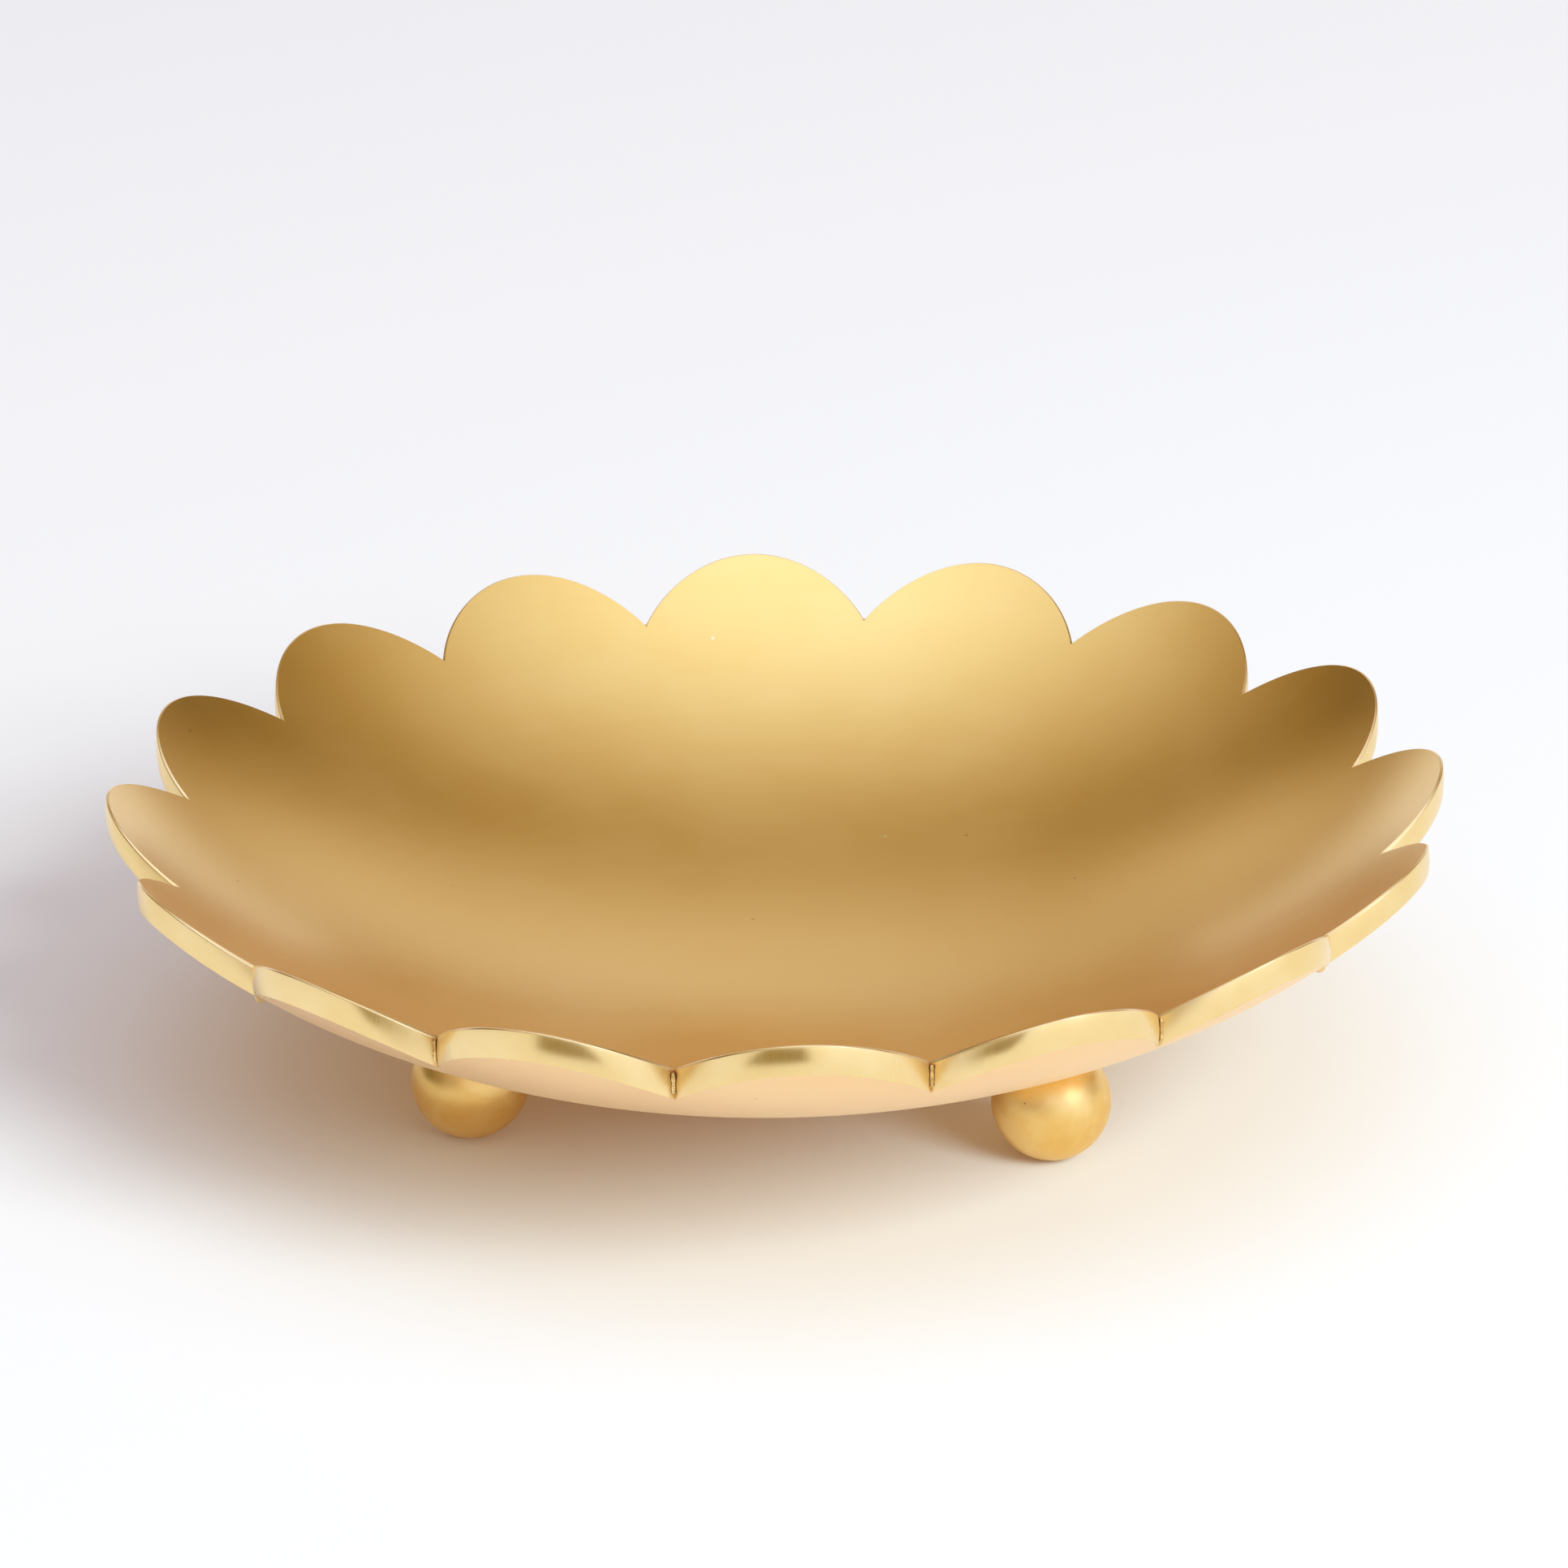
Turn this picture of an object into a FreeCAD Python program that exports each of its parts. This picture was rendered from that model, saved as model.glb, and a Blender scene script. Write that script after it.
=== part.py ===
import FreeCAD, Part
import math
import os
from FreeCAD import Vector

os.makedirs("parts", exist_ok=True)

# A double-walled brass urli: a shallow inner dish and an outer dish, both cut to sixteen
# round petals and joined all round by sixteen bent rim strips, soldered at the notches.
# It stands on three ball feet.
# Millimetres. +Z is up, the origin is on the bowl's axis at floor level,
# and one notch between two petals points along -Y.

# ---- driving sizes ----
overall_diameter = 280.0      # across opposite petal tips, over the rim strips
petal_count = 16
notch_depth = 13.1            # from a petal's tip in to the notch beside it
dish_depth = 47.3             # inside, from the level of the petal tips to the centre
curve_margin = 25.0           # the dishes' elliptical profile turns upright this far past the tips
sheet_thickness = 1.0         # both dishes, measured upright
rim_height = 6.3              # inner dish's top face to outer dish's underside, upright
strip_thickness = 0.9
solder_radius = 0.6           # hollow face of the solder in each notch

foot_count = 3
foot_turn = 2.0               # degrees that the feet stand round from the notch line
foot_contact_radius = 67.0    # from the bowl's axis to where a ball is seated
ball_diameter = 25.0
ball_seat_depth = 1.2         # how much of the ball is ground away to seat it on the dish
ball_flat_diameter = 5.0      # worn flat that a ball stands on
foot_solder_width = 1.7       # solder fillet round the seat, out along the dish
foot_solder_height = 0.8      # and down the ball

screw_diameter = 4.0
screw_reach = 8.0             # length of thread in the ball
screw_head_diameter = 7.0
screw_head_height = 2.2
screw_slot_width = 1.0
screw_slot_depth = 0.9
screw_hole_clearance = 0.2    # all round, in the outer dish
tap_drill_extra = 1.0         # the blind hole runs on past the screw's end

overcut = 1.0                 # how far cutting shapes run past what they cut
edge_spans = 24               # steps along the curve of a strip's long edge

# ---- plan of the petals ----
petal_angle = 2 * math.pi / petal_count
first_notch = -math.pi / 2
tip_radius = overall_diameter / 2 - strip_thickness
notch_radius = tip_radius - notch_depth

# A petal is one arc through two notches and a tip, about an upright axis of its own.
petal_axis_radius = ((tip_radius ** 2 - notch_radius ** 2)
                     / (2 * (tip_radius - notch_radius * math.cos(petal_angle / 2))))
petal_radius = tip_radius - petal_axis_radius
strip_outer_radius = petal_radius + strip_thickness

# ---- profile of the dishes ----
curve_half_width = tip_radius + curve_margin
curve_half_height = dish_depth / (1 - math.sqrt(1 - (tip_radius / curve_half_width) ** 2))
trim_radius = tip_radius + curve_margin / 2


def rise(radius):
    """Height of a dish's curve at a radius, above its own centre."""
    return curve_half_height * (1 - math.sqrt(1 - (radius / curve_half_width) ** 2))


def slope(radius):
    """Steepness of a dish's curve at a radius."""
    across = radius / curve_half_width
    return curve_half_height * across / (curve_half_width * math.sqrt(1 - across ** 2))


# ---- heights, from the floor up through the balls to the dishes ----
ball_radius = ball_diameter / 2
ball_height = math.sqrt(ball_radius ** 2 - (ball_flat_diameter / 2) ** 2)
seat_distance = ball_radius - ball_seat_depth
seat_tilt = math.atan(slope(foot_contact_radius))
foot_radius = foot_contact_radius + seat_distance * math.sin(seat_tilt)
seat_height = ball_height + seat_distance * math.cos(seat_tilt)

underside_centre = seat_height - rise(foot_contact_radius)
inside_centre = underside_centre + rim_height
tall = inside_centre + rise(trim_radius) + overcut


def polar(radius, angle, height=0.0):
    return Vector(radius * math.cos(angle), radius * math.sin(angle), height)


def notch_at(index):
    return first_notch + index * petal_angle


def petal_at(index):
    return first_notch + (index + 0.5) * petal_angle


# ---- dishes ----
def scalloped_prism():
    """Upright prism with the plan of the dishes: arcs that meet at the notches."""
    arcs = []
    for index in range(petal_count):
        start = polar(notch_radius, notch_at(index))
        tip = polar(tip_radius, petal_at(index))
        end = polar(notch_radius, notch_at(index + 1))
        arcs.append(Part.Arc(start, tip, end).toShape())
    plan = Part.Face(Part.Wire(arcs))
    return plan.extrude(Vector(0, 0, tall))


def profile_curve(centre_height):
    """Elliptical arc from past the petal tips in to the bowl's axis, as a spline."""
    middle = Vector(0, 0, centre_height + curve_half_height)
    side = middle + Vector(curve_half_width, 0, 0)
    bottom = middle - Vector(0, 0, curve_half_height)
    rim_turn = math.acos(trim_radius / curve_half_width)
    if curve_half_width > curve_half_height:
        arc = Part.ArcOfEllipse(Part.Ellipse(side, bottom, middle), rim_turn, math.pi / 2)
    else:
        arc = Part.ArcOfEllipse(Part.Ellipse(bottom, side, middle), 0, math.pi / 2 - rim_turn)
    return arc.toBSpline().toShape()


def revolved(edges):
    """Solid of the outline that the edges close, turned about the bowl's axis."""
    outline = Part.Wire(Part.__sortEdges__(edges))
    return Part.Face(outline).revolve(Vector(0, 0, 0), Vector(0, 0, 1), 360)


def space_above(centre_height):
    """Everything over a dish's curve, out past the petal tips."""
    rim = Vector(trim_radius, 0, centre_height + rise(trim_radius))
    rim_top = Vector(trim_radius, 0, tall)
    axis_top = Vector(0, 0, tall)
    centre = Vector(0, 0, centre_height)
    return revolved([profile_curve(centre_height),
                     Part.makeLine(centre, axis_top),
                     Part.makeLine(axis_top, rim_top),
                     Part.makeLine(rim_top, rim)])


def dish(centre_height):
    """Spun sheet between two equal curves, one above the other, cut to the petals."""
    lift = Vector(0, 0, sheet_thickness)
    rim = Vector(trim_radius, 0, centre_height + rise(trim_radius))
    centre = Vector(0, 0, centre_height)
    lower = profile_curve(centre_height)
    sheet = revolved([lower,
                      Part.makeLine(centre, centre + lift),
                      lower.translated(lift),
                      Part.makeLine(rim + lift, rim)])
    return sheet.common(scalloped_prism())


# ---- rim ----
def petal_wedge(index):
    """Upright wedge from the bowl's axis that holds one petal between two notch planes."""
    reach = 2 * overall_diameter
    axis = Vector(0, 0, 0)
    corners = [axis, polar(reach, notch_at(index)), polar(reach, notch_at(index + 1)), axis]
    return Part.Face(Part.makePolygon(corners)).extrude(Vector(0, 0, tall))


def lower_edge(index, radius):
    """Curve round a petal's axis that is as high as the outer dish's edge beside it."""
    centre = polar(petal_axis_radius, petal_at(index))
    points = []
    for step in range(edge_spans + 1):
        turn = petal_at(index) + math.pi * (step / edge_spans - 0.5)
        on_edge = centre + polar(petal_radius, turn)
        height = underside_centre + rise(on_edge.Length)
        points.append(centre + polar(radius, turn, height))
    curve = Part.BSplineCurve()
    curve.interpolate(points)
    return curve.toShape()


def rim_strip(index):
    """Bent strip round one petal. Both its long edges follow the dishes, square to its face."""
    inner = lower_edge(index, petal_radius - overcut)
    outer = lower_edge(index, strip_outer_radius + overcut)
    slab = Part.makeRuledSurface(inner, outer).extrude(Vector(0, 0, rim_height))
    centre = polar(petal_axis_radius, petal_at(index))
    ring = Part.makeCylinder(strip_outer_radius, tall, centre)
    ring = ring.cut(Part.makeCylinder(petal_radius, tall, centre))
    return slab.common(ring).common(petal_wedge(index))


def notch_solder(index):
    """Upright fillet of solder in the outer corner where two strips meet."""
    centre_along = petal_axis_radius * math.cos(petal_angle / 2)
    centre_aside = petal_axis_radius * math.sin(petal_angle / 2)
    reach = strip_outer_radius + solder_radius
    hollow_along = centre_along + math.sqrt(reach ** 2 - centre_aside ** 2)
    corner_along = centre_along + math.sqrt(strip_outer_radius ** 2 - centre_aside ** 2)
    touch = strip_outer_radius / reach
    touch_along = centre_along + (hollow_along - centre_along) * touch
    touch_aside = centre_aside * (1 - touch)

    bottom = underside_centre + rise(math.hypot(touch_along, touch_aside))
    top = inside_centre + rise(notch_radius)
    angle = notch_at(index)
    root = polar(corner_along - strip_thickness / 2, angle, bottom)
    aside = polar(touch_aside, angle + math.pi / 2)
    corners = [root,
               polar(touch_along, angle, bottom) + aside,
               polar(hollow_along, angle, bottom),
               polar(touch_along, angle, bottom) - aside,
               root]
    bead = Part.Face(Part.makePolygon(corners)).extrude(Vector(0, 0, top - bottom))
    bead = bead.cut(Part.makeCylinder(solder_radius, tall, polar(hollow_along, angle)))
    for petal in (index - 1, index):
        centre = polar(petal_axis_radius, petal_at(petal))
        bead = bead.cut(Part.makeCylinder(strip_outer_radius, tall, centre))
    return bead


# ---- feet: each has an axis square to the underside, through the middle of its seat ----
def foot_at(index):
    return first_notch + math.radians(foot_turn) + (2 * index - 1) * math.pi / foot_count


def foot_axis(index):
    return polar(-math.sin(seat_tilt), foot_at(index), math.cos(seat_tilt))


def along_foot(index, distance):
    """Point on a foot's axis, this far up from the ball's centre."""
    ball_centre = polar(foot_radius, foot_at(index), ball_height)
    return ball_centre + foot_axis(index) * distance


def foot_rod(index, diameter, start, end):
    """Round rod along a foot's axis, between two distances from the ball's centre."""
    return Part.makeCylinder(diameter / 2, end - start, along_foot(index, start), foot_axis(index))


def whole_ball(index):
    ball = Part.makeSphere(ball_radius, along_foot(index, 0))
    floor_block = Part.makeBox(2 * overall_diameter, 2 * overall_diameter, ball_diameter,
                               Vector(-overall_diameter, -overall_diameter, -ball_diameter))
    return ball.cut(floor_block)


def foot_ball(index, above_underside):
    """Ball with a flat to stand on, ground to the dish and drilled blind for its screw."""
    hole_bottom = seat_distance - screw_reach - tap_drill_extra
    hole = foot_rod(index, screw_diameter, hole_bottom, ball_diameter)
    return whole_ball(index).cut(above_underside).cut(hole)


def foot_screw(index, outer_dish):
    """Slotted screw, put in from between the dishes before the rim is closed."""
    head_under = seat_distance + sheet_thickness * math.cos(seat_tilt)
    head_top = head_under + screw_head_height
    shank = foot_rod(index, screw_diameter, seat_distance - screw_reach, head_under + overcut)
    head = foot_rod(index, screw_head_diameter, head_under, head_top)
    slot = Part.makeBox(2 * screw_head_diameter, screw_slot_width, screw_slot_depth + overcut,
                        Vector(-screw_head_diameter, -screw_slot_width / 2, -screw_slot_depth))
    upright_to_axis = FreeCAD.Rotation(Vector(0, 0, 1), foot_axis(index))
    slot.Placement = FreeCAD.Placement(along_foot(index, head_top), upright_to_axis)
    return shank.fuse(head).removeSplitter().cut(slot).cut(outer_dish)


def foot_solder(index, above_underside):
    """Fillet of solder round the seat, between the ball and the outer dish."""
    seat_radius = math.sqrt(ball_radius ** 2 - seat_distance ** 2)
    low = seat_distance - foot_solder_height
    low_radius = math.sqrt(ball_radius ** 2 - low ** 2)
    high_radius = seat_radius + foot_solder_width
    ring = Part.makeCone(low_radius, high_radius, foot_solder_height,
                         along_foot(index, low), foot_axis(index))
    collar = foot_rod(index, 2 * high_radius, seat_distance, seat_distance + overcut)
    return ring.fuse(collar).cut(whole_ball(index)).cut(above_underside)


# ---- write every piece ----
def write(name, shape):
    shape.exportStep("parts/" + name + ".step")


def make_all():
    above_underside = space_above(underside_centre)
    outer_dish = dish(underside_centre)
    for index in range(foot_count):
        screw_hole = screw_diameter + 2 * screw_hole_clearance
        outer_dish = outer_dish.cut(foot_rod(index, screw_hole, 0, ball_diameter))
    write("outer_dish", outer_dish)
    write("inner_dish", dish(inside_centre - sheet_thickness))
    for index in range(petal_count):
        write("rim_strip_%02d" % (index + 1), rim_strip(index))
        write("notch_solder_%02d" % (index + 1), notch_solder(index))
    for index in range(foot_count):
        write("foot_ball_%d" % (index + 1), foot_ball(index, above_underside))
        write("foot_screw_%d" % (index + 1), foot_screw(index, outer_dish))
        write("foot_solder_%d" % (index + 1), foot_solder(index, above_underside))


make_all()
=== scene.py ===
import math

import bpy
from mathutils import Matrix, Vector, noise


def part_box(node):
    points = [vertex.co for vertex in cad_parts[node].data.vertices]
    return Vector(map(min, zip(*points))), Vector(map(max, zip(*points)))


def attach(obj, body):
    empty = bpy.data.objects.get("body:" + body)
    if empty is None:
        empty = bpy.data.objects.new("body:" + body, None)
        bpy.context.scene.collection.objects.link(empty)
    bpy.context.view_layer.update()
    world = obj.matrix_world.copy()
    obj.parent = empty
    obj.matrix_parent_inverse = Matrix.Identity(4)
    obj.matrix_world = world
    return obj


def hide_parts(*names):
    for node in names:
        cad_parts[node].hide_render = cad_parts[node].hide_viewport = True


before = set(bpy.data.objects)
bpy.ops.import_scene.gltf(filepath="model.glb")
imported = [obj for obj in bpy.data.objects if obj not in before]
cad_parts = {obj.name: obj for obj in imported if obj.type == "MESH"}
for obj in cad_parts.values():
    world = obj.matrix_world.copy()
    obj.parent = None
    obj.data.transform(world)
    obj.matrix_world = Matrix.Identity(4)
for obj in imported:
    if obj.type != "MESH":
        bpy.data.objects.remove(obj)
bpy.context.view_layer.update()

# ---------------------------------------------------------------- sizes, in metres
MM = 0.001
PETALS = 16
STRIP = 0.9 * MM                      # rim strip's thickness
SHEET = 1.0 * MM                      # both dishes, measured upright
RIM = 6.3 * MM                        # inner dish's face to outer dish's underside, upright
TIP = 140 * MM - STRIP                # from the bowl's axis to the dish's edge at a petal tip
NOTCH = TIP - 13.1 * MM               # and at a notch
DEPTH = 47.3 * MM                     # inside, tips to centre
CURVE_WIDTH = TIP + 25 * MM           # half widths of the dishes' elliptical profile
CURVE_HEIGHT = DEPTH / (1 - math.sqrt(1 - (TIP / CURVE_WIDTH) ** 2))

STEP = 2 * math.pi / PETALS
FIRST_NOTCH = -math.pi / 2
PETAL_AXIS = (TIP ** 2 - NOTCH ** 2) / (2 * (TIP - NOTCH * math.cos(STEP / 2)))
PETAL_RADIUS = TIP - PETAL_AXIS

FEET = 3
FOOT_TURN = math.radians(2)           # the feet stand this far round from the notch line
FOOT_CONTACT = 67 * MM                # from the bowl's axis to a ball's seat
BALL = 12.5 * MM                      # ball's radius
SEAT_DEPTH = 1.2 * MM                 # ground off the ball where it is seated
FOOT_FLAT = 2.5 * MM                  # radius of the worn flat under a ball
COLLAR_WIDTH = 1.7 * MM               # solder round the seat, out along the dish
COLLAR_HEIGHT = 0.8 * MM              # and down the ball
BEAD = 0.6 * MM                       # radius of the solder's hollow face in a notch

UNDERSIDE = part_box("outer_dish")[0].z     # outer dish's lowest point
INSIDE = UNDERSIDE + RIM                  # inner dish's face at its centre

PETAL_STEPS = 48                      # mesh columns along one petal's edge
DISH_RINGS = 56
CORNER_STEPS = 6                      # across each rounded edge of a strip
FACE_STEPS = 14                       # up a strip's face
BEAD_ROWS = 44
BALL_RINGS = 72
BALL_COLUMNS = 96
COLLAR_COLUMNS = 120
COLLAR_STEPS = 8
SHARP_EDGE = math.radians(40)         # edges that turn more than this aren't smoothed


def smooth(low, high, value):
    """Smooth step from 0 at low to 1 at high."""
    share = min(max((value - low) / (high - low), 0.0), 1.0)
    return share * share * (3 - 2 * share)


def polar(radius, angle, height=0.0):
    """Point from its distance and turn about the bowl's axis."""
    return Vector((radius * math.cos(angle), radius * math.sin(angle), height))


def rise(radius):
    """Height of a dish's curve at a radius, above its own centre."""
    return CURVE_HEIGHT * (1 - math.sqrt(1 - (radius / CURVE_WIDTH) ** 2))


def slope(radius):
    """Steepness of that curve."""
    across = radius / CURVE_WIDTH
    return CURVE_HEIGHT * across / (CURVE_WIDTH * math.sqrt(1 - across ** 2))


def notch_at(index):
    """Angle of a notch round the bowl."""
    return FIRST_NOTCH + index * STEP


def petal_at(index):
    """Angle of the middle of a petal."""
    return FIRST_NOTCH + (index + 0.5) * STEP


def end_turn(radius):
    """Turn about a petal's axis at which an arc of this radius meets the notch plane."""
    return STEP / 2 + math.asin(PETAL_AXIS * math.sin(STEP / 2) / radius)


def petal_point(index, radius, share):
    """Plan point round a petal: share runs from -1 at one notch to 1 at the next."""
    turn = petal_at(index) + share * end_turn(radius)
    return polar(PETAL_AXIS, petal_at(index)) + polar(radius, turn)


# ---------------------------------------------------------------- mesh helpers
def make_piece(name, verts, faces, node, slot, material):
    """Piece of the bowl that stands in for a CAD node."""
    mesh = bpy.data.meshes.new(name)
    mesh.from_pydata([tuple(v) for v in verts], [], faces)
    mesh.validate()
    mesh.shade_smooth()
    mesh.set_sharp_from_angle(angle=SHARP_EDGE)
    piece = bpy.data.objects.new(name, mesh)
    bpy.context.collection.objects.link(piece)
    mesh.materials.append(material)
    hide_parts(node)
    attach(piece, "root")


def lofted(sections):
    """Closed solid through sections, each a closed loop of as many points, with end caps."""
    verts = [point for section in sections for point in section]
    count = len(sections[0])
    faces = []
    for row in range(len(sections) - 1):
        for column in range(count):
            here = row * count + column
            beside = row * count + (column + 1) % count
            faces.append((here, beside, beside + count, here + count))
    faces.append(tuple(reversed(range(count))))
    last = (len(sections) - 1) * count
    faces.append(tuple(range(last, last + count)))
    return verts, faces


# ---------------------------------------------------------------- dishes
def dish_columns():
    """Plan points of the dishes' edge, from notch to notch round every petal."""
    return [petal_point(petal, PETAL_RADIUS, 2 * step / PETAL_STEPS - 1)
            for petal in range(PETALS) for step in range(PETAL_STEPS)]


def dish_mesh(centre_height):
    """Sheet with a face above and one below, joined round the scalloped edge."""
    edge = dish_columns()
    columns = len(edge)
    verts = []
    faces = []
    for thickness in (SHEET, 0.0):
        verts.append(Vector((0, 0, centre_height + thickness)))
        for ring in range(1, DISH_RINGS + 1):
            share = ring / DISH_RINGS
            scallop = smooth(0.5, 1.0, share)
            for point in edge:
                reach = point.length
                radius = share * (NOTCH * (1 - scallop) + reach * scallop)
                height = centre_height + thickness + rise(radius)
                verts.append(Vector((point.x, point.y, 0)) * (radius / reach)
                             + Vector((0, 0, height)))
    layer = 1 + DISH_RINGS * columns
    for first, upper in ((0, True), (layer, False)):
        for column in range(columns):
            beside = (column + 1) % columns
            fan = (first, first + 1 + column, first + 1 + beside)
            faces.append(fan if upper else fan[::-1])
            for ring in range(DISH_RINGS - 1):
                inner = first + 1 + ring * columns
                outer = inner + columns
                quad = (inner + column, outer + column, outer + beside, inner + beside)
                faces.append(quad if upper else quad[::-1])
    top_edge = 1 + (DISH_RINGS - 1) * columns
    for column in range(columns):
        beside = (column + 1) % columns
        faces.append((top_edge + column, layer + top_edge + column,
                      layer + top_edge + beside, top_edge + beside))
    return verts, faces


# ---------------------------------------------------------------- rim strips
CROWN = 0.26 * MM                     # filing and polishing leave the strip's face domed
TOP_ROUND = 0.22 * MM
BOTTOM_ROUND = 0.40 * MM
SEAM_BEVEL = 0.06 * MM
WANDER = 0.10 * MM                    # slow unevenness of the hand-filed faces
PROUD = 0.8 * MM                      # how far two strips' ends stand out past their neighbours
PROUD_ENDS = {2: 1, 14: -1}           # those two strips, and the end of each
BURR = 0.09 * MM                      # raggedness of the lip beside the notches
LIP_WEAR = 0.02 * MM                  # and all along it


def ripple(index, share, scale, channel):
    """Smooth unevenness between -1 and 1 along one petal, its own on every petal.

    It has about this scale of waves in half a petal, and each channel is a pattern of its own.
    """
    return noise.noise(Vector((share * scale, index * 7.31, channel)))


def strip_section():
    """Outline of a strip: (out from its inner face, up from its lower edge)."""
    outline = [(0.0, 0.0)]
    for step in range(CORNER_STEPS + 1):
        turn = math.pi / 2 * step / CORNER_STEPS
        outline.append((STRIP - BOTTOM_ROUND + BOTTOM_ROUND * math.sin(turn),
                        BOTTOM_ROUND - BOTTOM_ROUND * math.cos(turn)))
    for step in range(1, FACE_STEPS):
        up = BOTTOM_ROUND + (RIM - BOTTOM_ROUND - TOP_ROUND) * step / FACE_STEPS
        outline.append((STRIP, up))
    for step in range(CORNER_STEPS + 1):
        turn = math.pi / 2 * step / CORNER_STEPS
        outline.append((STRIP - TOP_ROUND + TOP_ROUND * math.cos(turn),
                        RIM - TOP_ROUND + TOP_ROUND * math.sin(turn)))
    outline.append((SEAM_BEVEL, RIM))
    outline.append((0.0, RIM - SEAM_BEVEL))
    return outline


def strip_mesh(index):
    """Bent strip whose long edges follow the dishes, filed by hand."""
    sections = []
    outline = strip_section()
    steps = 3 * PETAL_STEPS
    for step in range(steps + 1):
        share = 2 * step / steps - 1
        on_edge = petal_point(index, PETAL_RADIUS, share)
        lower = UNDERSIDE + rise(on_edge.length)
        lean = 0.5 * ripple(index, share, 1.3, 0.5)
        hollow = ripple(index, share, 2.4, 4.5)
        near_end = smooth(0.80, 0.99, abs(share))
        proud = PROUD * smooth(0.82, 0.97, share * PROUD_ENDS.get(index, 0))
        ragged = BURR * near_end * abs(ripple(index, share, 60.0, 9.0))
        ragged += LIP_WEAR * abs(ripple(index, share, 30.0, 12.0))
        section = []
        for out, up in outline:
            height = 2 * up / RIM - 1
            dome = CROWN * height * height * (1 + 0.5 * hollow)
            tilt = WANDER * (1 + lean * height)
            worn = out / STRIP * (dome + tilt - proud)
            point = petal_point(index, PETAL_RADIUS + out - worn, share)
            lip = ragged * smooth(0.93, 1.0, up / RIM)
            section.append(Vector((point.x, point.y, lower + up - lip)))
        sections.append(section)
    return lofted(sections)


# ---------------------------------------------------------------- solder in the notches
BEAD_FULLEST = 1.12                   # widest a lump may make the bead, against its plain width
BEAD_SHOULDER = 0.42                  # half width at the bend in its face, against its sides'


def bead_mesh(index):
    """Lumpy upright bead in the outer corner where two strips meet."""
    centre_along = PETAL_AXIS * math.cos(STEP / 2)
    centre_aside = PETAL_AXIS * math.sin(STEP / 2)
    strip_outer = PETAL_RADIUS + STRIP
    reach = strip_outer + BEAD
    hollow_along = centre_along + math.sqrt(reach ** 2 - centre_aside ** 2)
    corner_along = centre_along + math.sqrt(strip_outer ** 2 - centre_aside ** 2)
    touch = strip_outer / reach
    touch_along = centre_along + (hollow_along - centre_along) * touch
    touch_aside = centre_aside * (1 - touch)
    deep = corner_along - STRIP / 2
    bottom = UNDERSIDE + rise(touch_along)
    top = INSIDE + rise(NOTCH)
    along = polar(1, notch_at(index))
    aside = polar(1, notch_at(index) + math.pi / 2)
    sections = []
    for row in range(BEAD_ROWS + 1):
        share = row / BEAD_ROWS
        closing = math.sqrt(max(0.0, 1 - (2 * share - 1) ** 12))
        lump = noise.noise(Vector((share * 5.0, index * 3.7, 2.0)))
        grit = noise.noise(Vector((share * 17.0, index * 3.7, 6.0)))
        full = 0.8 * closing * (1 + 0.40 * lump + 0.25 * grit)
        middle = corner_along + (hollow_along - BEAD - corner_along) * (0.55 + 0.45 * full)
        side_along = corner_along + (touch_along - corner_along) * min(full, BEAD_FULLEST)
        side_aside = touch_aside * min(full, BEAD_FULLEST)
        shoulder_along = (side_along + middle) / 2 - 0.05 * BEAD
        shoulder_aside = side_aside * BEAD_SHOULDER
        skew = 0.12 * touch_aside * noise.noise(Vector((share * 4.0, index * 5.1, 11.0)))
        height = bottom + (top - bottom) * share
        plan = [(deep, 0.0),
                (side_along, -side_aside),
                (shoulder_along, -shoulder_aside),
                (middle, skew),
                (shoulder_along, shoulder_aside),
                (side_along, side_aside)]
        sections.append([along * out + aside * across + Vector((0, 0, height))
                         for out, across in plan])
    return lofted(sections)


# ---------------------------------------------------------------- feet
SEAT_TILT = math.atan(slope(FOOT_CONTACT))
SEAT_DISTANCE = BALL - SEAT_DEPTH
BALL_HEIGHT = math.sqrt(BALL ** 2 - FOOT_FLAT ** 2)
FOOT_RADIUS = FOOT_CONTACT + SEAT_DISTANCE * math.sin(SEAT_TILT)
BALL_FACETS = 0.08 * MM               # broad flats and small dents left by hand finishing
BALL_DENTS = 0.05 * MM
COLLAR_GRIT = 0.05 * MM
COLLAR_BITE = 0.12 * MM               # the collar's lower edge is this far inside the ball
COLLAR_ROOT = (0.6 * MM, 0.2 * MM)    # its inner corner is in and down from the seat's edge
COLLAR_CURL = 1.1 * MM                # its outer edge turns up with the dish


def foot_frame(index):
    """Ball's centre, its axis square to the dish, and two directions across the axis."""
    angle = FIRST_NOTCH + FOOT_TURN + (2 * index - 1) * math.pi / FEET
    centre = polar(FOOT_RADIUS, angle, BALL_HEIGHT)
    axis = polar(-math.sin(SEAT_TILT), angle, math.cos(SEAT_TILT))
    across = polar(1, angle + math.pi / 2)
    return centre, axis, across, axis.cross(across)


def below_dish(point):
    """The point, or the one under it on the outer dish's underside if it is above that."""
    ceiling = UNDERSIDE + rise(math.hypot(point.x, point.y))
    return Vector((point.x, point.y, min(point.z, ceiling)))


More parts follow.
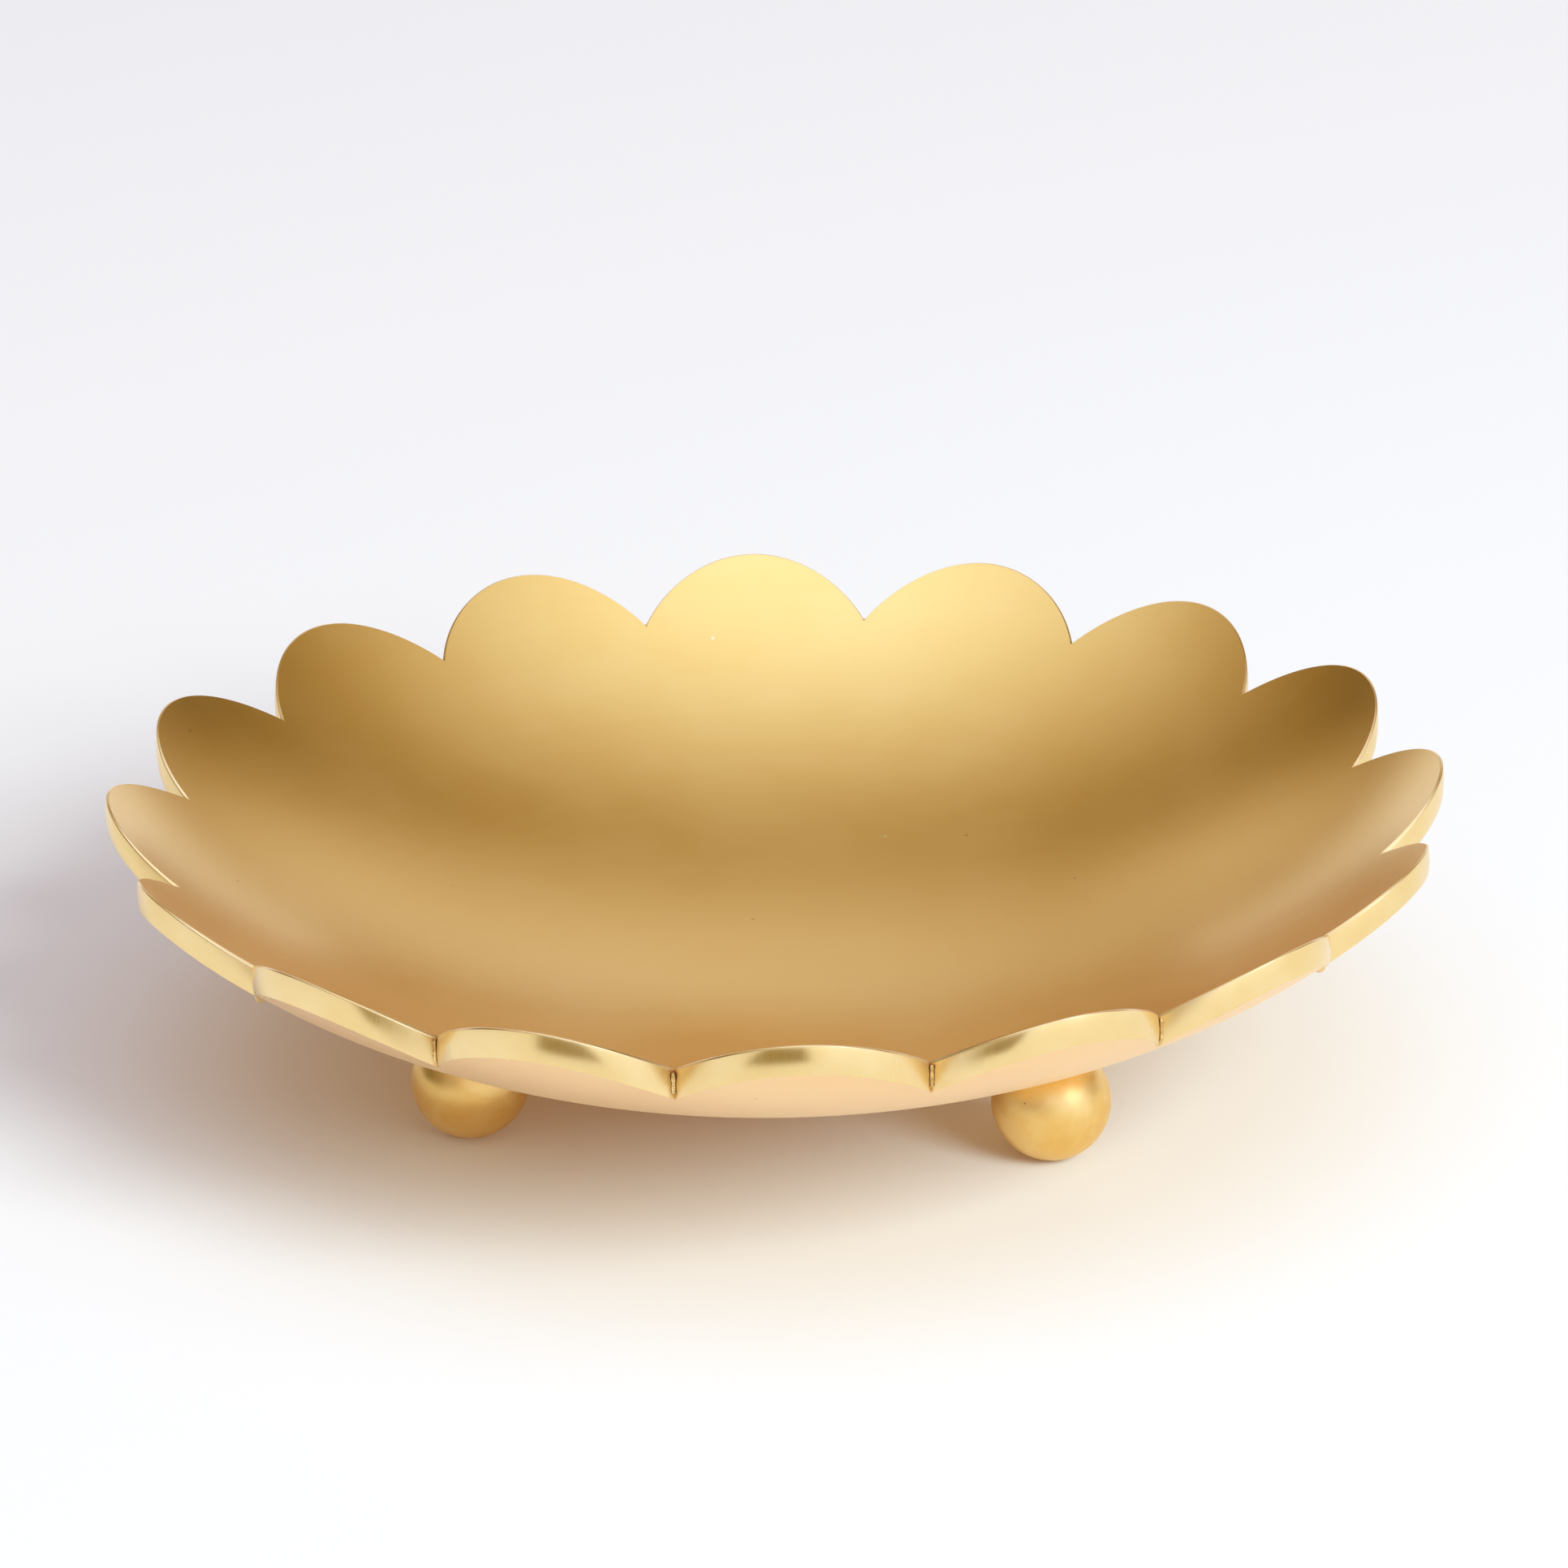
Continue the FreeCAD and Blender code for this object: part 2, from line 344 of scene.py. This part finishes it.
def ball_mesh(index):
    """Hand-finished ball, not quite round, ground to the dish and standing on a flat."""
    centre, axis, across, other = foot_frame(index)

    def surface(ring, column):
        dip = math.pi * ring / BALL_RINGS
        turn = 2 * math.pi * column / BALL_COLUMNS
        outward = (axis * math.cos(dip) + across * math.sin(dip) * math.cos(turn)
                   + other * math.sin(dip) * math.sin(turn))
        facet = noise.noise(outward * 1.6 + Vector((index * 9.0, 0, 0)))
        dent = noise.noise(outward * 5.0 + Vector((0, index * 9.0, 3.0)))
        radius = BALL - BALL_FACETS * (1 + facet) - BALL_DENTS * (1 + dent)
        point = below_dish(centre + outward * radius)
        return Vector((point.x, point.y, max(point.z, 0.0)))

    verts = [surface(0, 0)]
    for ring in range(1, BALL_RINGS):
        verts += [surface(ring, column) for column in range(BALL_COLUMNS)]
    verts.append(surface(BALL_RINGS, 0))
    first = 1
    last = first + (BALL_RINGS - 2) * BALL_COLUMNS
    pole = len(verts) - 1
    faces = []
    for column in range(BALL_COLUMNS):
        beside = (column + 1) % BALL_COLUMNS
        faces.append((0, first + column, first + beside))
        for start in range(first, last, BALL_COLUMNS):
            faces.append((start + column, start + BALL_COLUMNS + column,
                          start + BALL_COLUMNS + beside, start + beside))
        faces.append((last + column, pole, last + beside))
    return verts, faces


def collar_mesh(index):
    """Uneven fillet of solder between a ball and the dish, as a closed ring."""
    centre, axis, across, other = foot_frame(index)
    seat_radius = math.sqrt(BALL ** 2 - SEAT_DISTANCE ** 2)
    root_in, root_down = COLLAR_ROOT
    verts = []
    for column in range(COLLAR_COLUMNS):
        turn = 2 * math.pi * column / COLLAR_COLUMNS
        aside = across * math.cos(turn) + other * math.sin(turn)
        spread = noise.noise(aside * 3.0 + Vector((0, 0, index * 4.0)))
        grit = noise.noise(aside * 14.0 + Vector((0, 0, index * 4.0)))
        width = COLLAR_WIDTH * (0.86 + 0.20 * spread + 0.10 * grit)
        drop = COLLAR_HEIGHT * (0.95 + 0.30 * spread + 0.15 * grit)
        low = SEAT_DISTANCE - drop
        low_radius = math.sqrt(BALL ** 2 - low ** 2) - COLLAR_BITE
        high_radius = seat_radius + width
        inner = centre + axis * (SEAT_DISTANCE - root_down) + aside * (seat_radius - root_in)
        verts.append(below_dish(inner))
        for step in range(COLLAR_STEPS + 1):
            share = step / COLLAR_STEPS
            bow = 0.30 * math.sin(math.pi * share)
            along = low + drop * (share - bow * 0.25)
            out = low_radius + (high_radius - low_radius) * (share - bow * 0.55)
            grown = COLLAR_GRIT * grit
            up = along + grown + COLLAR_CURL * share ** 3
            verts.append(below_dish(centre + axis * up + aside * (out + grown)))
    loop = COLLAR_STEPS + 2
    faces = []
    for column in range(COLLAR_COLUMNS):
        here = column * loop
        beside = (column + 1) % COLLAR_COLUMNS * loop
        for step in range(loop):
            after = (step + 1) % loop
            faces.append((here + step, beside + step, beside + after, here + after))
    return verts, faces


# ---------------------------------------------------------------- shader helpers
DOT_EDGE = (0.03, 0.10)               # where a dot begins to fade and where it ends, in cells
COAT_ROUGHNESS = 0.35


def add_node(tree, kind, **inputs):
    """New shader node with its inputs set by name."""
    node = tree.nodes.new(kind)
    for name, value in inputs.items():
        node.inputs[name].default_value = value
    return node


def feed(tree, socket, value):
    """Set a socket to a number, or link another socket to it."""
    if isinstance(value, (int, float)):
        socket.default_value = value
    else:
        tree.links.new(value, socket)


def maths(tree, operation, first, second=0.0):
    """Result of one sum on numbers or sockets."""
    node = tree.nodes.new("ShaderNodeMath")
    node.operation = operation
    feed(tree, node.inputs[0], first)
    feed(tree, node.inputs[1], second)
    return node.outputs[0]


def band(tree, value, low, high, start=0.0, end=1.0):
    """Smooth change from start to end as the value goes from low to high."""
    node = add_node(tree, "ShaderNodeMapRange")
    node.interpolation_type = "SMOOTHSTEP"
    for name, setting in (("Value", value), ("From Min", low), ("From Max", high),
                          ("To Min", start), ("To Max", end)):
        feed(tree, node.inputs[name], setting)
    return node.outputs["Result"]


def blend(tree, share, first, second):
    """Colour between two colours, each given as numbers or as a socket."""
    node = tree.nodes.new("ShaderNodeMix")
    node.data_type = "RGBA"
    feed(tree, node.inputs["Factor"], share)
    for socket, colour in ((node.inputs[6], first), (node.inputs[7], second)):
        if isinstance(colour, tuple):
            socket.default_value = (*colour, 1)
        else:
            tree.links.new(colour, socket)
    return node.outputs[2]


def grain(tree, place, scale, detail=2.0, roughness=0.5):
    """Noise from 0 to 1 at a place, with about this scale of waves in one unit."""
    node = add_node(tree, "ShaderNodeTexNoise", Scale=scale, Detail=detail, Roughness=roughness)
    tree.links.new(place, node.inputs["Vector"])
    return node.outputs["Fac"]


class Place:
    """Where a point of the bowl is: across it, round it and up, all in metres."""

    def __init__(self, tree):
        self.tree = tree
        self.point = tree.nodes.new("ShaderNodeTexCoord").outputs["Object"]
        split = tree.nodes.new("ShaderNodeSeparateXYZ")
        tree.links.new(self.point, split.inputs[0])
        self.x, self.y, self.z = split.outputs
        square = maths(tree, "ADD", maths(tree, "MULTIPLY", self.x, self.x),
                       maths(tree, "MULTIPLY", self.y, self.y))
        self.radius = maths(tree, "SQRT", square)
        self.angle = maths(tree, "ARCTAN2", self.y, self.x)

    def joined(self, *parts):
        """Vector of three parts, each a number or a socket."""
        node = self.tree.nodes.new("ShaderNodeCombineXYZ")
        for socket, part in zip(node.inputs, parts):
            feed(self.tree, socket, part)
        return node.outputs[0]

    def from_notch(self):
        """Distance round the bowl to the nearest notch."""
        turned = maths(self.tree, "SUBTRACT", self.angle, FIRST_NOTCH - PETALS * STEP)
        swing = maths(self.tree, "PINGPONG", turned, STEP / 2)
        return maths(self.tree, "MULTIPLY", swing, self.radius)


def metal(name, coat=0.0):
    """Bare metal material, its tree, its shader and where its points are."""
    material = bpy.data.materials.new(name)
    material.use_nodes = True
    tree = material.node_tree
    shader = tree.nodes["Principled BSDF"]
    shader.inputs["Metallic"].default_value = 1.0
    shader.inputs["Coat Weight"].default_value = coat
    shader.inputs["Coat Roughness"].default_value = COAT_ROUGHNESS
    return material, tree, shader, Place(tree)


def set_relief(tree, shader, height, depth):
    """Fine relief, this deep where the height is 1."""
    bump = add_node(tree, "ShaderNodeBump", Strength=1.0, Distance=depth)
    tree.links.new(height, bump.inputs["Height"])
    tree.links.new(bump.outputs[0], shader.inputs["Normal"])


def specks(tree, place, scale, low, high):
    """Sparse small dots, 1 inside a dot: at most one in a cell.

    There are this scale of cells in a metre. Each has a number from 0 to 1, and those from low
    to high have a dot.
    """
    cells = add_node(tree, "ShaderNodeTexVoronoi", Scale=scale)
    tree.links.new(place, cells.inputs["Vector"])
    near = band(tree, cells.outputs["Distance"], *DOT_EDGE, 1.0, 0.0)
    split = tree.nodes.new("ShaderNodeSeparateColor")
    tree.links.new(cells.outputs["Color"], split.inputs[0])
    chosen = maths(tree, "MULTIPLY",
                   maths(tree, "GREATER_THAN", split.outputs[0], low),
                   maths(tree, "LESS_THAN", split.outputs[0], high))
    return maths(tree, "MULTIPLY", near, chosen)


def by_ray(tree, kind, otherwise, seen):
    """Mix that shows one kind of ray one shader, and all other rays the other."""
    mix = tree.nodes.new("ShaderNodeMixShader")
    tree.links.new(tree.nodes.new("ShaderNodeLightPath").outputs[kind], mix.inputs["Fac"])
    tree.links.new(otherwise, mix.inputs[1])
    tree.links.new(seen, mix.inputs[2])
    return mix.outputs[0]


# ---------------------------------------------------------------- materials
INSIDE_DEEP = (0.86, 0.580, 0.165)
INSIDE_PALE = (0.89, 0.620, 0.195)
OUTSIDE_LIT_DEEP = (1.0, 0.680, 0.320)   # paler under the bowl: painted light, brightened for the floor's light falling on the underside
OUTSIDE_LIT_PALE = (1.0, 0.715, 0.370)
RIM_DEEP = (0.89, 0.66, 0.29)
RIM_PALE = (0.94, 0.73, 0.37)
STAIN = (0.66, 0.38, 0.12)
FOOT_DEEP = (0.90, 0.59, 0.18)
FOOT_PALE = (0.95, 0.69, 0.27)
SOLDER_DARK = (0.62, 0.38, 0.13)
SOLDER_PALE = (0.92, 0.66, 0.28)
TURNED_LINE = (0.93, 0.68, 0.30)
DUST = (0.98, 0.86, 0.60)
DISH_PIT = (0.30, 0.17, 0.06)
RIM_PIT = (0.35, 0.18, 0.06)
FOOT_PIT = (0.28, 0.15, 0.05)
# the screw's brass is coloured darker: painted shade for the closed space between the dishes
SCREW_DARK = (0.50, 0.32, 0.13)
SCREW_PALE = (0.74, 0.52, 0.24)

INSIDE_ROUGHNESS = 0.25
INSIDE_COAT = 0.15
OUTSIDE_ROUGHNESS = 0.36
OUTSIDE_COAT = 0.5
RIM_ROUGHNESS = (0.21, 0.26)          # each pair: where its noise is low, and where high
FILED_ROUGHNESS = 0.14                # added beside the notches
FOOT_ROUGHNESS = (0.33, 0.40)
SOLDER_ROUGHNESS = (0.42, 0.26)
SCREW_ROUGHNESS = (0.38, 0.24)

DUST_DOTS = (150.0, 0.0, 0.035)       # each: cells in a metre, and which of them have a dot
DISH_PITS = (190.0, 0.96, 1.0)
RIM_PITS = (260.0, 0.0, 0.02)
FOOT_PITS = (330.0, 0.0, 0.05)

DISH_CLOUDS = 26.0                    # each: waves in a metre of a metal's uneven tone
RIM_CLOUDS = 60.0
RIM_BLOTCHES = 420.0                  # and of the ragged edge of the stain beside a notch
FOOT_CLOUDS = 130.0
SOLDER_CLOUDS = 700.0
SCREW_CLOUDS = 500.0

LINES_PER_METRE = 500.0               # turning lines, out from the middle of a dish
MARKS_ROUND = 420.0                   # filing marks on the strips: how many in a radian,
MARKS_UP = 110.0                      # and how many in a metre of height
BRUSH_MARKS = (300.0, 300.0, 1500.0)  # brush marks on the balls, in a metre along x, y and z
STAIN_WIDTH = 0.6 * MM                # brown edge beside a notch
FILED_FULL = 3 * MM                   # strips are rough with file marks this near a notch
FILED_END = 12 * MM                   # and polished smooth from here on
DISH_RELIEF = 0.002 * MM
RIM_RELIEF = 0.016 * MM
FOOT_RELIEF = 0.018 * MM
SOLDER_RELIEF = 0.08 * MM
THREAD_RELIEF = 0.08 * MM
THREAD_BANDS = 1200.0                 # scale of the bands that stand for the screw's thread


def dish_material(name, deep, pale, roughness, coat):
    """Satin spun brass: fine turning lines, faint clouding, dust and pin-prick pits."""
    material, tree, shader, place = metal(name, coat)
    turned = place.joined(maths(tree, "MULTIPLY", place.radius, LINES_PER_METRE), place.angle, 0.0)
    lines = grain(tree, turned, 1.0, 0.0)
    cloud = grain(tree, place.point, DISH_CLOUDS, 3.0, 0.55)
    tone = blend(tree, band(tree, cloud, 0.30, 0.70), deep, pale)
    tone = blend(tree, band(tree, lines, 0.25, 0.75, 0.0, 0.06), tone, TURNED_LINE)
    dust = specks(tree, place.point, *DUST_DOTS)
    pits = specks(tree, place.point, *DISH_PITS)
    tone = blend(tree, maths(tree, "MULTIPLY", dust, 0.6), tone, DUST)
    tone = blend(tree, maths(tree, "MULTIPLY", pits, 0.5), tone, DISH_PIT)
    tree.links.new(tone, shader.inputs["Base Color"])
    rough = band(tree, cloud, 0.25, 0.75, roughness - 0.02, roughness + 0.02)
    tree.links.new(rough, shader.inputs["Roughness"])
    set_relief(tree, shader, maths(tree, "SUBTRACT", 1.0, pits), DISH_RELIEF)
    return material


def strip_material():
    """Polished brass: upright filing marks, duller and stained beside the notches."""
    material, tree, shader, place = metal("polished_brass")
    upright = place.joined(maths(tree, "MULTIPLY", place.angle, MARKS_ROUND),
                           maths(tree, "MULTIPLY", place.z, MARKS_UP), place.radius)
    marks = grain(tree, upright, 1.0, 3.0, 0.6)
    cloud = grain(tree, place.point, RIM_CLOUDS, 3.0, 0.6)
    tone = blend(tree, band(tree, cloud, 0.30, 0.72), RIM_DEEP, RIM_PALE)
    blotch = grain(tree, place.point, RIM_BLOTCHES, 4.0, 0.65)
    width = maths(tree, "MULTIPLY", band(tree, cloud, 0.3, 0.7, 0.4, 1.7), STAIN_WIDTH)
    edge = maths(tree, "DIVIDE", place.from_notch(), width)
    near = band(tree, maths(tree, "ADD", edge, blotch), 0.7, 1.7, 1.0, 0.0)
    tone = blend(tree, maths(tree, "MULTIPLY", near, 0.6), tone, STAIN)
    pits = specks(tree, place.point, *RIM_PITS)
    tone = blend(tree, maths(tree, "MULTIPLY", pits, 0.7), tone, RIM_PIT)
    tree.links.new(tone, shader.inputs["Base Color"])
    filed = band(tree, place.from_notch(), FILED_FULL, FILED_END, 1.0, 0.0)
    rough = maths(tree, "ADD", band(tree, marks, 0.2, 0.8, *RIM_ROUGHNESS),
                  maths(tree, "MULTIPLY", maths(tree, "MAXIMUM", filed, near), FILED_ROUGHNESS))
    tree.links.new(rough, shader.inputs["Roughness"])
    scratched = maths(tree, "MULTIPLY", marks, band(tree, filed, 0.0, 1.0, 0.06, 0.8))
    set_relief(tree, shader, maths(tree, "SUBTRACT", scratched, pits), RIM_RELIEF)
    return material


def ball_material():
    """Cast brass, hand polished: brush marks in patches, with small pits."""
    material, tree, shader, place = metal("foot_brass")
    brushed = place.joined(*[maths(tree, "MULTIPLY", along, count)
                             for along, count in zip((place.x, place.y, place.z), BRUSH_MARKS)])
    marks = grain(tree, brushed, 1.0, 3.0, 0.6)
    cloud = grain(tree, place.point, FOOT_CLOUDS, 3.0, 0.55)
    tone = blend(tree, band(tree, cloud, 0.32, 0.68), FOOT_DEEP, FOOT_PALE)
    pits = specks(tree, place.point, *FOOT_PITS)
    tone = blend(tree, maths(tree, "MULTIPLY", pits, 0.8), tone, FOOT_PIT)
    tree.links.new(tone, shader.inputs["Base Color"])
    rough = maths(tree, "ADD", band(tree, cloud, 0.3, 0.7, *FOOT_ROUGHNESS),
                  band(tree, marks, 0.2, 0.8, -0.02, 0.04))
    tree.links.new(rough, shader.inputs["Roughness"])
    height = maths(tree, "SUBTRACT", maths(tree, "ADD", marks, cloud), pits)
    set_relief(tree, shader, height, FOOT_RELIEF)
    return material


def solder_material():
    """Dull brass solder with burnt brown flux left in its hollows."""
    material, tree, shader, place = metal("brass_solder")
    cloud = grain(tree, place.point, SOLDER_CLOUDS, 4.0, 0.65)
    tone = blend(tree, band(tree, cloud, 0.40, 0.62), SOLDER_DARK, SOLDER_PALE)
    tree.links.new(tone, shader.inputs["Base Color"])
    tree.links.new(band(tree, cloud, 0.3, 0.7, *SOLDER_ROUGHNESS), shader.inputs["Roughness"])
    set_relief(tree, shader, cloud, SOLDER_RELIEF)
    return material


def screw_material():
    """Turned brass screw, coloured darker: painted shade for the closed space between the dishes."""
    material, tree, shader, place = metal("screw_brass")
    cloud = grain(tree, place.point, SCREW_CLOUDS, 3.0, 0.6)
    tone = blend(tree, band(tree, cloud, 0.35, 0.65), SCREW_DARK, SCREW_PALE)
    tree.links.new(tone, shader.inputs["Base Color"])
    tree.links.new(band(tree, cloud, 0.3, 0.7, *SCREW_ROUGHNESS), shader.inputs["Roughness"])
    threads = add_node(tree, "ShaderNodeTexWave", Scale=THREAD_BANDS, Distortion=0.4)
    threads.bands_direction = "Z"
    tree.links.new(place.point, threads.inputs["Vector"])
    set_relief(tree, shader, threads.outputs["Fac"], THREAD_RELIEF)
    return material


# ---------------------------------------------------------------- pieces
inside_brass = dish_material("inside_brass", INSIDE_DEEP, INSIDE_PALE,
                             INSIDE_ROUGHNESS, INSIDE_COAT)
# the underside's brass is painted paler than the inside: painted light from the floor below
outside_brass_lit = dish_material("outside_brass_lit", OUTSIDE_LIT_DEEP, OUTSIDE_LIT_PALE,
                              OUTSIDE_ROUGHNESS, OUTSIDE_COAT)
rim_brass = strip_material()
foot_brass = ball_material()
solder = solder_material()
screw_brass = screw_material()

make_piece("inner_dish_sheet", *dish_mesh(INSIDE - SHEET), "inner_dish", "dish_brass", inside_brass)
make_piece("outer_dish_sheet", *dish_mesh(UNDERSIDE), "outer_dish", "dish_brass", outside_brass_lit)
for petal in range(PETALS):
    number = "_%02d" % (petal + 1)
    make_piece("rim_band" + number, *strip_mesh(petal), "rim_strip" + number, "rim_brass", rim_brass)
    make_piece("notch_bead" + number, *bead_mesh(petal), "notch_solder" + number, "solder", solder)
for foot in range(FEET):
    number = "_%d" % (foot + 1)
    make_piece("ball" + number, *ball_mesh(foot), "foot_ball" + number, "foot_brass", foot_brass)
    make_piece("collar" + number, *collar_mesh(foot), "foot_solder" + number, "solder", solder)
    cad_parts["foot_screw" + number].material_slots[0].material = screw_brass

# ---------------------------------------------------------------- stage, lights and camera
CAMERA_AZIMUTH = math.radians(9.22)   # from -Y towards +X
CAMERA_ELEVATION = math.radians(21.51)
CAMERA_DISTANCE = 1.439
CAMERA_AIM = Vector((0.0016, 0.0003, 0.0665))
CAMERA_ROLL = math.radians(-0.822)
CAMERA_LENS = 158.1
CAMERA_SENSOR = 36

FLOOR_HALF = 6.0                      # from the middle of the floor to its edge
FLOOR_COLOUR = (0.585, 0.630, 0.60)
FLOOR_PAINTED_GLOW = (0.11, 0.04, 0.005)       # painted light: the floor glows warm to fill the bowl's shadow, standing in for the table's bounce
FLOOR_ROUGHNESS = 0.9
FLOOR_SHINE = 0.1
FLAG_DISTANCES = (0.28, 1.1)          # the flag's near and far edges, from the bowl's axis
FLAG_TURNS = (-26, 5)                 # degrees round from the camera's side
FLAG_HEIGHT = 1 * MM
# the flag's dark colour is a painted dark reflection: only glossy rays see it
FLAG_REFLECTION_COLOUR = (0.30, 0.22, 0.06)
BACKGROUND = 0.92                     # plain grey that the camera sees behind the floor

WALL_LIGHT = 0.06
SWEEP_TOP = 0.28                      # sine of the elevation where the pale sweep ends
SWEEP_SOFTNESS = 0.14                 # and how far its edge fades each way
SWEEP_LIGHT = 0.90
# each soft light: which way it lies, how narrow it is and how bright
SOFT_BOXES = (((0.0, -0.30, 0.95), 2.0, 1.31),       # overhead
              ((0.4, -0.85, 0.35), 2.2, 1.05),       # behind the camera
              ((0.88, -0.40, 0.33), 3.0, 1.15),      # pale wall on the right
              ((0.70, -0.52, 0.48), 20.0, 2.6),      # and the window in it
              ((-0.08, 0.88, 0.45), 9.0, 0.75),      # over the sweep
              ((-0.43, 0.78, 0.45), 30.0, 0.68),     # and to its left
              ((0.10, 0.88, 0.44), 16.0, 0.72))      # and its right
FULL_LIGHT = 1.3                      # level at which the bright tint is full
DIM_TINT = (1.0, 0.62, 0.10)          # dim parts of the room are warm
BRIGHT_TINT = (1.0, 1.10, 1.50)       # and bright parts are cool
WINDOW_PLACE = (40, 4.0, 2.5)         # turn from the camera's side, distance and height
WINDOW_AIM = (0, 0, 50 * MM)
WINDOW_SIZE = (2.0, 2.2)
WINDOW_POWER = 300
WINDOW_COLOUR = (0.94, 0.98, 1.0)


def from_camera(turn, distance, height):
    """Place this many degrees round to the right of the camera's own side."""
    angle = CAMERA_AZIMUTH + math.radians(turn)
    return (distance * math.sin(angle), -distance * math.cos(angle), height)


def flat_card(name, corners, paint):
    """Four-cornered sheet for the studio."""
    mesh = bpy.data.meshes.new(name)
    mesh.from_pydata(corners, [], [(0, 1, 2, 3)])
    card = bpy.data.objects.new(name, mesh)
    bpy.context.collection.objects.link(card)
    mesh.materials.append(paint)
    return card


def make_floor():
    """Plain pale floor, with a faint warm glow: painted light that fills the bowl's shadow."""
    paint = bpy.data.materials.new("floor_paint")
    paint.use_nodes = True
    shader = paint.node_tree.nodes["Principled BSDF"]
    shader.inputs["Base Color"].default_value = (*FLOOR_COLOUR, 1)
    # painted light: the floor's faint warm glow fills the shadow under the bowl
    shader.inputs["Emission Color"].default_value = (*FLOOR_PAINTED_GLOW, 1)
    shader.inputs["Emission Strength"].default_value = 1.0
    shader.inputs["Roughness"].default_value = FLOOR_ROUGHNESS
    shader.inputs["Specular IOR Level"].default_value = FLOOR_SHINE
    corners = [(-FLOOR_HALF, -FLOOR_HALF, 0), (FLOOR_HALF, -FLOOR_HALF, 0),
               (FLOOR_HALF, FLOOR_HALF, 0), (-FLOOR_HALF, FLOOR_HALF, 0)]
    floor = flat_card("floor", corners, paint)


def make_flag():
    """Dark card just above the floor that shows only in reflections: a painted dark reflection in
    the polished metal, like a studio flag's.
    """
    paint = bpy.data.materials.new("flag_reflection_paint")
    paint.use_nodes = True
    tree = paint.node_tree
    tree.nodes.clear()
    # painted dark reflection: the card glows dark for glossy rays and is clear to all others
    card = add_node(tree, "ShaderNodeEmission", Color=(*FLAG_REFLECTION_COLOUR, 1), Strength=1.0)
    clear = tree.nodes.new("ShaderNodeBsdfTransparent")
    output = tree.nodes.new("ShaderNodeOutputMaterial")
    seen = by_ray(tree, "Is Glossy Ray", clear.outputs[0], card.outputs[0])
    tree.links.new(seen, output.inputs["Surface"])
    near, far = FLAG_DISTANCES
    left, right = FLAG_TURNS
    corners = [from_camera(turn, distance, FLAG_HEIGHT)
               for turn, distance in ((left, near), (right, near), (right, far), (left, far))]
    flag = flat_card("flag", corners, paint)


def make_window():
    """Soft light that casts the shadow. The metal reflects the world's window instead."""
    data = bpy.data.lights.new("window", "AREA")
    data.shape = "RECTANGLE"
    data.size, data.size_y = WINDOW_SIZE
    data.energy = WINDOW_POWER
    data.color = WINDOW_COLOUR
    lamp = bpy.data.objects.new("window", data)
    bpy.context.collection.objects.link(lamp)
    lamp.location = from_camera(*WINDOW_PLACE)
    towards = Vector(WINDOW_AIM) - lamp.location
    lamp.rotation_euler = towards.to_track_quat("-Z", "Y").to_euler()
    lamp.visible_glossy = False


def facing(tree, direction, axis):
    """Cosine of the angle between a direction and an axis, never below zero."""
    node = tree.nodes.new("ShaderNodeVectorMath")
    node.operation = "DOT_PRODUCT"
    tree.links.new(direction, node.inputs[0])
    node.inputs[1].default_value = Vector(axis).normalized()
    return maths(tree, "MAXIMUM", node.outputs["Value"], 0.0)


def make_world():
    """Studio: a broad soft light overhead, a pale sweep low behind, dim warm walls elsewhere."""
    world = bpy.data.worlds.new("studio")
    bpy.context.scene.world = world
    world.use_nodes = True
    tree = world.node_tree
    tree.nodes.clear()
    direction = tree.nodes.new("ShaderNodeTexCoord").outputs["Generated"]
    split = tree.nodes.new("ShaderNodeSeparateXYZ")
    tree.links.new(direction, split.inputs[0])
    low_behind = maths(tree, "MULTIPLY", band(tree, split.outputs["Y"], 0.0, 0.5),
                       band(tree, split.outputs["Z"], SWEEP_TOP - SWEEP_SOFTNESS,
                            SWEEP_TOP + SWEEP_SOFTNESS, 1.0, 0.0))
    level = maths(tree, "MULTIPLY", low_behind, SWEEP_LIGHT)
    for axis, focus, strength in SOFT_BOXES:
        lobe = maths(tree, "POWER", facing(tree, direction, axis), focus)
        level = maths(tree, "MAXIMUM", level, maths(tree, "MULTIPLY", lobe, strength))
    level = maths(tree, "ADD", level, WALL_LIGHT)
    colour = tree.nodes.new("ShaderNodeCombineColor")
    for socket, dim, bright in zip(colour.inputs, DIM_TINT, BRIGHT_TINT):
        tint = band(tree, level, 0.0, FULL_LIGHT, dim, bright)
        tree.links.new(maths(tree, "MULTIPLY", level, tint), socket)
    studio = add_node(tree, "ShaderNodeBackground", Strength=1.0)
    tree.links.new(colour.outputs[0], studio.inputs["Color"])
    plain = add_node(tree, "ShaderNodeBackground", Color=(*[BACKGROUND] * 3, 1), Strength=1.0)
    output = tree.nodes.new("ShaderNodeOutputWorld")
    seen = by_ray(tree, "Is Camera Ray", studio.outputs[0], plain.outputs[0])
    tree.links.new(seen, output.inputs["Surface"])


def make_camera():
    """Camera looking at the middle of the bowl from in front and above."""
    data = bpy.data.cameras.new("camera")
    data.lens = CAMERA_LENS
    data.sensor_width = CAMERA_SENSOR
    camera = bpy.data.objects.new("camera", data)
    bpy.context.collection.objects.link(camera)
    towards = Vector((math.sin(CAMERA_AZIMUTH) * math.cos(CAMERA_ELEVATION),
                      -math.cos(CAMERA_AZIMUTH) * math.cos(CAMERA_ELEVATION),
                      math.sin(CAMERA_ELEVATION)))
    level = towards.to_track_quat("Z", "Y")
    turn = level.to_matrix() @ Matrix.Rotation(CAMERA_ROLL, 3, "Z")
    camera.matrix_world = Matrix.Translation(CAMERA_AIM + towards * CAMERA_DISTANCE) @ turn.to_4x4()
    bpy.context.scene.camera = camera


make_floor()
make_flag()
make_world()
make_window()
make_camera()
bpy.context.scene.view_settings.view_transform = "Standard"
